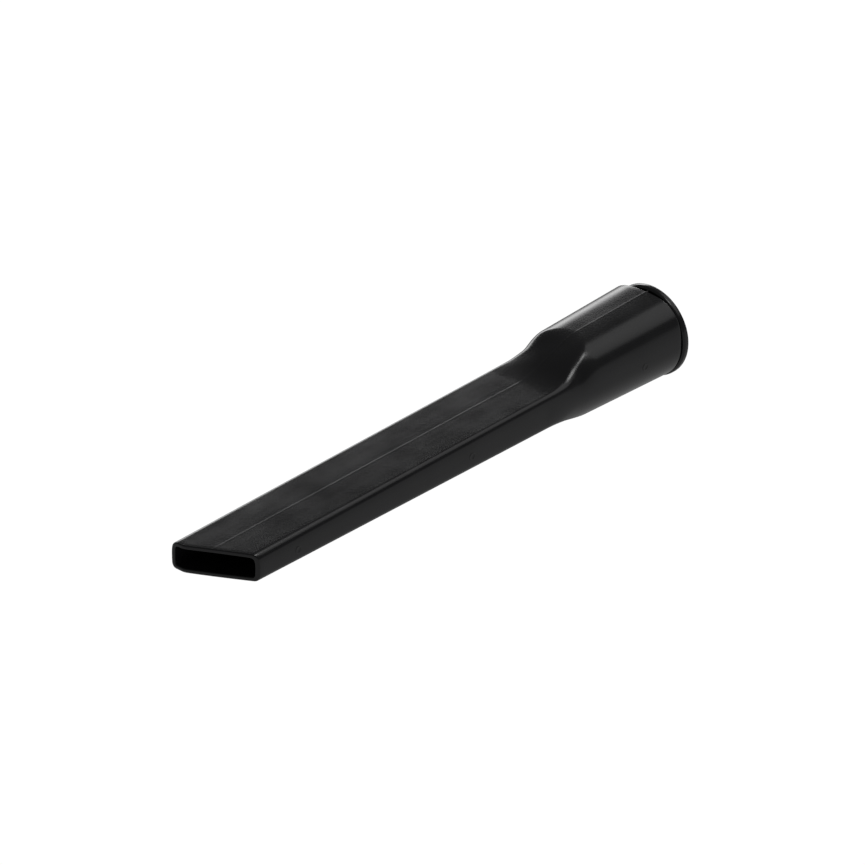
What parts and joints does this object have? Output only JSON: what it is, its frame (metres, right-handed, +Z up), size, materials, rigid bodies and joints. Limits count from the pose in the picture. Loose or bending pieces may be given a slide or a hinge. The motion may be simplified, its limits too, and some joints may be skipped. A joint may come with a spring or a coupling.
{
  "type": "vacuum crevice tool",
  "caption": "Black plastic crevice tool for a vacuum cleaner: flat hollow blade with a slanting mouth, scooped into a round push-on socket with an end ring.",
  "frame": {"origin": "centre of the socket's open end", "axes": "+Y along the socket's axis, out of its open end; +Z up, square to the blade's flat faces; the blade points along -Y"},
  "size_m": [0.042, 0.28, 0.042],
  "materials": {
    "body_plastic": "semi-gloss moulded, black",
    "ring_plastic": "semi-gloss moulded, black"
  },
  "bodies": {
    "root": {"left_shell": "body_plastic", "right_shell": "body_plastic", "end_ring": "ring_plastic"}
  },
  "joints": []
}
